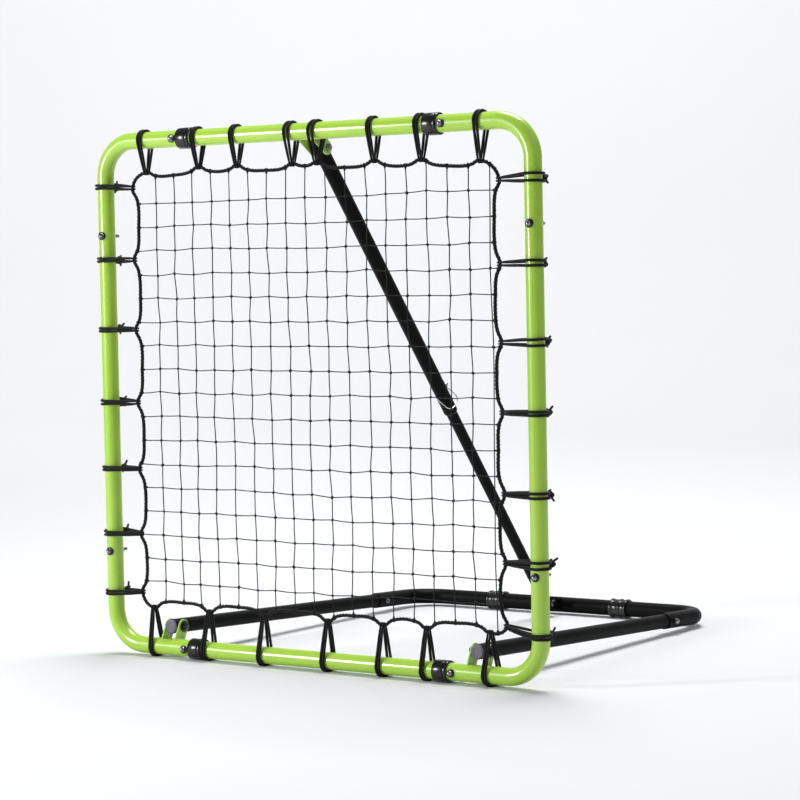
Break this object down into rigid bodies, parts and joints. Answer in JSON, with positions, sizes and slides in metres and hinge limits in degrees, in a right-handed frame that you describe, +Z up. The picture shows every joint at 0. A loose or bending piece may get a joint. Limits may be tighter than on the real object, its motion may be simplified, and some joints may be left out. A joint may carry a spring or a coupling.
{
  "type": "net rebounder",
  "caption": "Square net rebounder on a low tube base; a telescopic strut with a lock pin sets how far the net leans back.",
  "frame": {"origin": "on the floor, in the middle of the outer box", "axes": "+X to the right seen from the front, +Y from the net to the rear bar, +Z up"},
  "size_m": [1.0108, 0.898, 1.0108],
  "materials": {
    "green_paint": "gloss",
    "black_paint": "satin",
    "black_plastic": "satin",
    "grey_plug": "matte",
    "dark_steel": "satin",
    "bright_steel": "polished",
    "net_cord": "matte",
    "border_cord": "matte",
    "elastic_cord": "matte"
  },
  "bodies": {
    "base": {"left_leg": "black_paint", "right_leg": "black_paint", "left_leg_plug": "grey_plug", "right_leg_plug": "grey_plug", "left_rear_elbow": "black_paint", "right_rear_elbow": "black_paint", "rear_bar": "black_paint", "left_rear_sleeve": "black_plastic", "right_rear_sleeve": "black_plastic", "base_bolts": "dark_steel", "base_washers": "black_plastic", "base_nuts": "dark_steel", "foot_ears": "black_paint", "foot_bolt": "dark_steel", "foot_bolt_nut": "dark_steel"},
    "panel": {"bottom_bar": "green_paint", "right_post": "green_paint", "top_bar": "green_paint", "left_post": "green_paint", "bottom_right_elbow": "green_paint", "top_right_elbow": "green_paint", "top_left_elbow": "green_paint", "bottom_left_elbow": "green_paint", "bottom_right_collar": "black_plastic", "bottom_left_collar": "black_plastic", "top_left_collar": "black_plastic", "top_right_collar": "black_plastic", "panel_bolts": "dark_steel", "panel_washers": "black_plastic", "panel_nuts": "dark_steel", "left_hinge_ears": "green_paint", "right_hinge_ears": "green_paint", "hinge_bolts": "dark_steel", "hinge_nuts": "dark_steel", "top_ears": "green_paint", "top_bolt_head_stub": "dark_steel", "top_bolt_end_stub": "dark_steel", "top_bolt_nut": "dark_steel", "border_rope": "border_cord", "ties_bottom": "elastic_cord", "ties_right": "elastic_cord", "ties_top": "elastic_cord", "ties_left": "elastic_cord", "net": "net_cord"},
    "strut_lower": {"strut_inner_tube": "black_paint", "strut_foot_plug": "black_plastic"},
    "strut_upper": {"strut_outer_tube": "black_paint", "strut_top_plug": "black_plastic", "strut_guide": "black_plastic"},
    "lock_pin": {"lock_pin": "bright_steel"},
    "lock_wire": {"lock_wire": "bright_steel"}
  },
  "joints": [
    {"name": "panel_tilt", "type": "hinge", "parent": "base", "child": "panel", "pos_m": [0, -0.405, 0.058], "axis": [-1, 0, 0], "range_deg": [0, 43]},
    {"name": "strut_swing", "type": "hinge", "parent": "base", "child": "strut_lower", "pos_m": [0, 0.377, 0.03], "axis": [-1, 0, 0], "range_deg": [0, 27.5]},
    {"name": "strut_slide", "type": "slide", "parent": "strut_lower", "child": "strut_upper", "axis": [0, 0.6332, -0.774], "range_m": [0, 0.513]},
    {"name": "lock_pin_pull", "type": "slide", "parent": "strut_upper", "child": "lock_pin", "axis": [0, 0.774, 0.6332], "range_m": [0, 0.024]},
    {"name": "lock_wire_swing", "type": "hinge", "parent": "lock_pin", "child": "lock_wire", "pos_m": [0, 0.01711, 0.50466], "axis": [0, -0.6332, 0.774], "range_deg": [0, 152]}
  ],
  "couplings": [
    {"joint": "strut_swing", "follows": "panel_tilt", "ratio": 0.61828},
    {"joint": "strut_slide", "follows": "panel_tilt", "m_per_rad": 0.68151},
    {"joint": "lock_wire_swing", "follows": "lock_pin_pull", "rad_per_m": 109.96}
  ]
}
